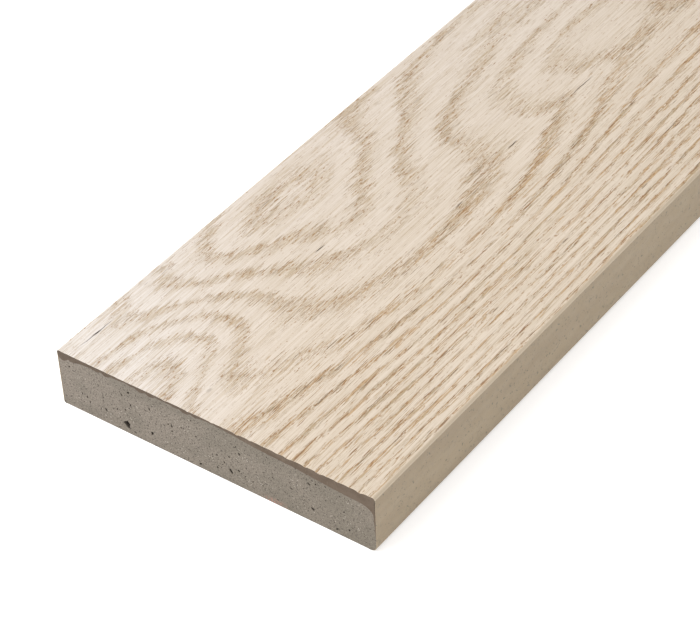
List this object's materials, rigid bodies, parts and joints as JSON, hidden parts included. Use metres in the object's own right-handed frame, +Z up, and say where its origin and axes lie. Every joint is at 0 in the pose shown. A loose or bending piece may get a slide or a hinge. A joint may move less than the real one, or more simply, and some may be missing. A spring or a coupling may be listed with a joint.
{
  "type": "threshold strip",
  "caption": "Wide flat threshold strip: grey cast core, brown elastomer wear skin and a pale oak-grain tread coat, with plain cut ends and eased long edges.",
  "frame": {"origin": "middle of the underside, on the surface that the strip rests on", "axes": "+X across the strip from heel to nose, +Y along the strip away from the near cut end, +Z up out of the tread"},
  "size_m": [0.176, 0.9, 0.032],
  "materials": {
    "core": "sawn grey mineral-resin casting with small pores",
    "skin": "sawn brown elastomer",
    "tread": "matt pale limed-oak grain, embossed",
    "edge": "matt beige coat with fine grey specks",
    "strand": "cut glass fibre"
  },
  "bodies": {
    "root": {"resin_core": "core", "wear_skin": "skin", "tread_coat": "tread", "nose_coat": "edge", "heel_coat": "edge", "lower_strands": "strand", "upper_strands": "strand"}
  },
  "joints": []
}
